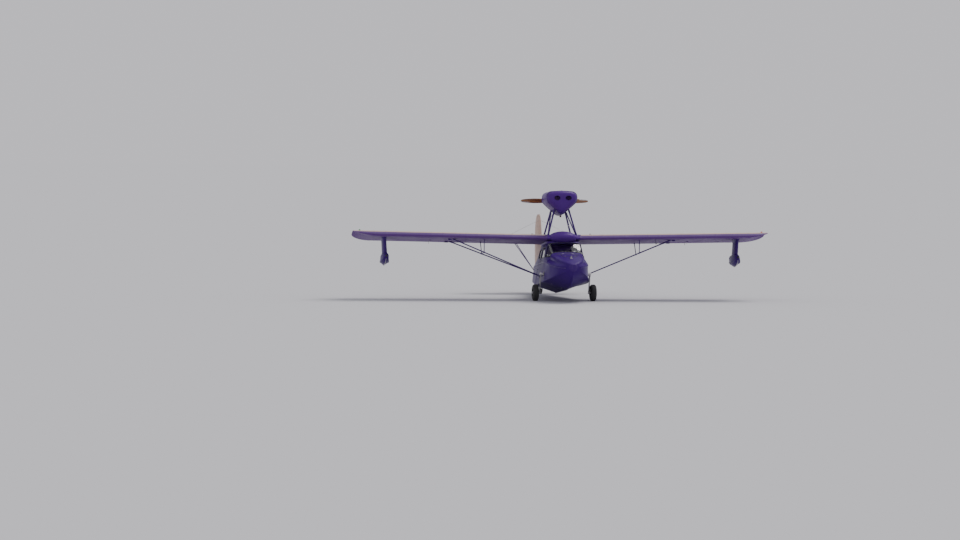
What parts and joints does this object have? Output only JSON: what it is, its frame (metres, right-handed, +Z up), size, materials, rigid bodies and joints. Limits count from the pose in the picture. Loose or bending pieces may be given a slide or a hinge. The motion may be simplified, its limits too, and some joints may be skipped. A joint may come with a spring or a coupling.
{
  "type": "two-seat amphibious flying boat with a pusher engine",
  "caption": "Light high-wing amphibious flying boat with stepped hull, wing floats, pusher engine on a pylon, side-by-side cabin, wheels beside the hull and a tail wheel.",
  "frame": {"origin": "on the ground under the middle of the aircraft's bounding box", "axes": "+X to port along the span, +Y aft, +Z up; the bow points to -Y and the hull is 4.5 degrees bow up on its wheels"},
  "size_m": [11.111, 7.3886, 2.9078],
  "materials": {
    "hull_paint": "gloss paint",
    "nacelle_paint": "gloss paint",
    "wing_fabric": "doped and painted",
    "cream_fabric": "doped and painted",
    "strut_paint": "painted",
    "glass": "clear",
    "engine_metal": "cast",
    "steel": "satin",
    "tyre": "matte",
    "rim_paint": "painted",
    "wood": "varnished",
    "seat_fabric": "woven",
    "panel_paint": "matte paint"
  },
  "bodies": {
    "airframe": {"hull": "hull_paint", "cabin_frame": "hull_paint", "windshield": "glass", "rear_window_left": "glass", "rear_window_right": "glass", "wing_center": "nacelle_paint", "wing_left": "wing_fabric", "wing_right": "wing_fabric", "wing_strut_left": "strut_paint", "wing_strut_right": "strut_paint", "wing_float_left": "hull_paint", "wing_float_right": "hull_paint", "float_strut_left": "strut_paint", "float_strut_right": "strut_paint", "tip_lamp_left": "glass", "tip_lamp_right": "glass", "pitot_tube": "steel", "nacelle": "nacelle_paint", "engine": "engine_metal", "exhaust_left": "steel", "exhaust_right": "steel", "pylon_left": "strut_paint", "pylon_right": "strut_paint", "fin": "cream_fabric", "tailplane_left": "wing_fabric", "tailplane_right": "wing_fabric", "tail_strut_left": "strut_paint", "tail_strut_right": "strut_paint", "gear_leg_left": "steel", "gear_leg_right": "steel", "tail_bracket": "steel", "seat_cushion": "seat_fabric", "seat_back": "seat_fabric", "instrument_panel": "panel_paint", "control_column": "steel", "bow_cleat": "steel"},
    "door_left": {"door_left": "hull_paint", "door_window_left": "glass"},
    "door_right": {"door_right": "hull_paint", "door_window_right": "glass"},
    "aileron_left": {"aileron_left": "cream_fabric"},
    "aileron_right": {"aileron_right": "cream_fabric"},
    "propeller": {"propeller": "wood"},
    "rudder": {"rudder": "cream_fabric"},
    "elevator": {"elevator": "cream_fabric"},
    "wheel_left": {"wheel_left": "rim_paint", "tyre_left": "tyre"},
    "wheel_right": {"wheel_right": "rim_paint", "tyre_right": "tyre"},
    "tail_fork": {"tail_fork": "steel"},
    "tail_wheel": {"tail_wheel": "tyre"}
  },
  "joints": [
    {"name": "door_left_hinge", "type": "hinge", "parent": "airframe", "child": "door_left", "pos_m": [0.455, -1.4966, 1.43821], "axis": [0, -0.9969, 0.0785], "range_deg": [0, 80]},
    {"name": "door_right_hinge", "type": "hinge", "parent": "airframe", "child": "door_right", "pos_m": [-0.455, -1.4966, 1.43821], "axis": [0, 0.9969, -0.0785], "range_deg": [0, 80]},
    {"name": "aileron_left_hinge", "type": "hinge", "parent": "airframe", "child": "aileron_left", "pos_m": [4.15, -0.65296, 1.58112], "axis": [0.9998, 0.0014, 0.0174], "range_deg": [-20, 20]},
    {"name": "aileron_right_hinge", "type": "hinge", "parent": "airframe", "child": "aileron_right", "pos_m": [-4.15, -0.65296, 1.58112], "axis": [0.9998, -0.0014, -0.0174], "range_deg": [-20, 20]},
    {"name": "propeller_spin", "type": "hinge", "parent": "airframe", "child": "propeller", "pos_m": [0, -0.06996, 2.6139], "axis": [0, 0.9969, -0.0785], "continuous": true},
    {"name": "rudder_hinge", "type": "hinge", "parent": "airframe", "child": "rudder", "pos_m": [0, 2.98665, 1.23985], "axis": [0, 0.0785, 0.9969], "range_deg": [-28, 28]},
    {"name": "elevator_hinge", "type": "hinge", "parent": "airframe", "child": "elevator", "pos_m": [0, 2.8793, 1.46898], "axis": [1, 0, 0], "range_deg": [-20, 25]},
    {"name": "wheel_left_spin", "type": "hinge", "parent": "airframe", "child": "wheel_left", "pos_m": [0.77, -2.03379, 0.2206], "axis": [1, 0, 0], "continuous": true},
    {"name": "wheel_right_spin", "type": "hinge", "parent": "airframe", "child": "wheel_right", "pos_m": [-0.77, -2.03379, 0.2206], "axis": [1, 0, 0], "continuous": true},
    {"name": "tail_wheel_steering", "type": "hinge", "parent": "airframe", "child": "tail_fork", "pos_m": [0, 2.33678, 0.18365], "axis": [0, 0.0785, 0.9969], "range_deg": [-30, 30]},
    {"name": "tail_wheel_spin", "type": "hinge", "parent": "tail_fork", "child": "tail_wheel", "pos_m": [0, 2.39872, 0.07846], "axis": [1, 0, 0], "continuous": true}
  ],
  "couplings": [
    {"joint": "aileron_right_hinge", "follows": "aileron_left_hinge", "ratio": -1}
  ]
}
